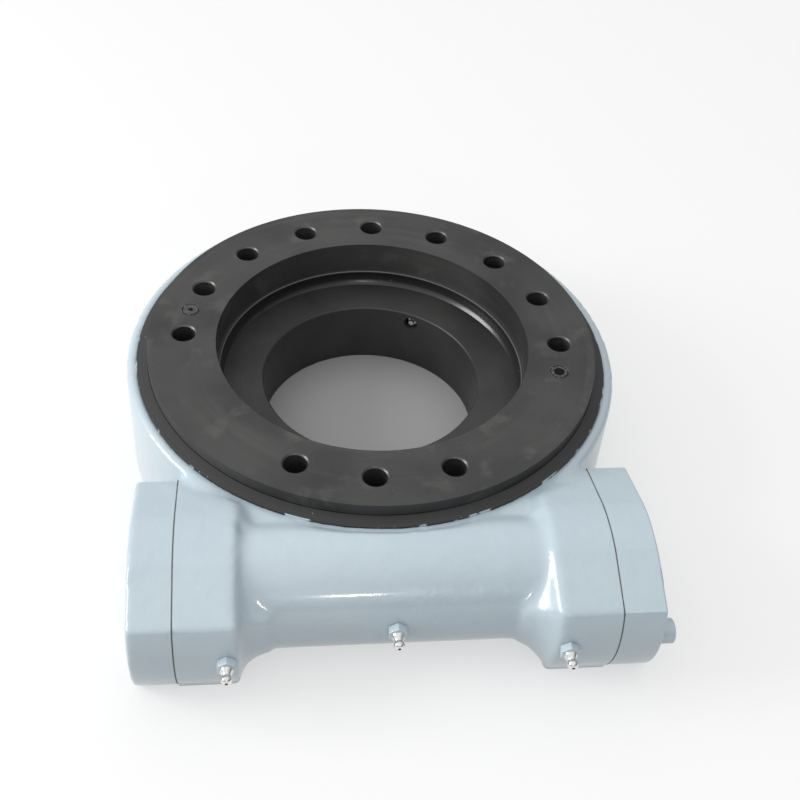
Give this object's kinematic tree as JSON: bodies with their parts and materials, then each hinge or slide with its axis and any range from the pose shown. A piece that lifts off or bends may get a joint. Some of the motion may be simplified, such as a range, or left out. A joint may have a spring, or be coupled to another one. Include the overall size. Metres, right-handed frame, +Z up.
{
  "type": "slew drive",
  "caption": "Worm-driven slew drive: cast housing with a worm tube across the front, a black turning ring with bolt holes and an open centre bore.",
  "frame": {"origin": "centre of the bore at the lower mounting face", "axes": "+Z up along the ring axis, X and Y through the output bolt pattern, worm on the -Y side and turned 3.8 degrees from X, motor end towards +X"},
  "size_m": [0.3637, 0.4376, 0.086],
  "materials": {
    "blue_grey_paint": "gloss blue-grey enamel over cast iron",
    "black_oxide": "blackened machined steel",
    "bright_steel": "bright ground steel",
    "black_rubber": "glossy black nitrile",
    "gasket_grey": "dark gasket sheet",
    "black_screw": "black oxide screw"
  },
  "bodies": {
    "fixed_frame": {"housing": "blue_grey_paint", "left_cover": "blue_grey_paint", "right_cover": "blue_grey_paint", "cover_plug": "blue_grey_paint", "inner_ring": "black_oxide", "race_rollers": "bright_steel", "left_bearing_cup": "bright_steel", "right_bearing_cup": "bright_steel", "outer_seal": "black_rubber", "floor_seal": "black_rubber", "left_gasket": "gasket_grey", "right_gasket": "gasket_grey", "left_cover_screws": "black_screw", "right_cover_screws": "black_screw", "floor_screws": "black_screw", "left_grease_nipple": "bright_steel", "middle_grease_nipple": "bright_steel", "right_grease_nipple": "bright_steel", "bore_grease_nipple": "bright_steel"},
    "turning_ring": {"ring_gear": "black_oxide", "left_race_plug": "black_oxide", "right_race_plug": "black_oxide", "inner_seal": "black_rubber"},
    "worm_shaft": {"worm": "bright_steel", "left_bearing_cone": "bright_steel", "right_bearing_cone": "bright_steel", "left_lock_nut": "bright_steel", "right_lock_nut": "bright_steel"}
  },
  "joints": [
    {"name": "ring_turn", "type": "hinge", "parent": "fixed_frame", "child": "turning_ring", "pos_m": [0, 0, 0.04], "axis": [0, 0, 1], "continuous": true},
    {"name": "worm_turn", "type": "hinge", "parent": "fixed_frame", "child": "worm_shaft", "pos_m": [0.01206, -0.1816, 0.04], "axis": [0.9978, 0.0663, 0], "continuous": true}
  ],
  "couplings": [
    {"joint": "worm_turn", "follows": "ring_turn", "ratio": -62}
  ]
}
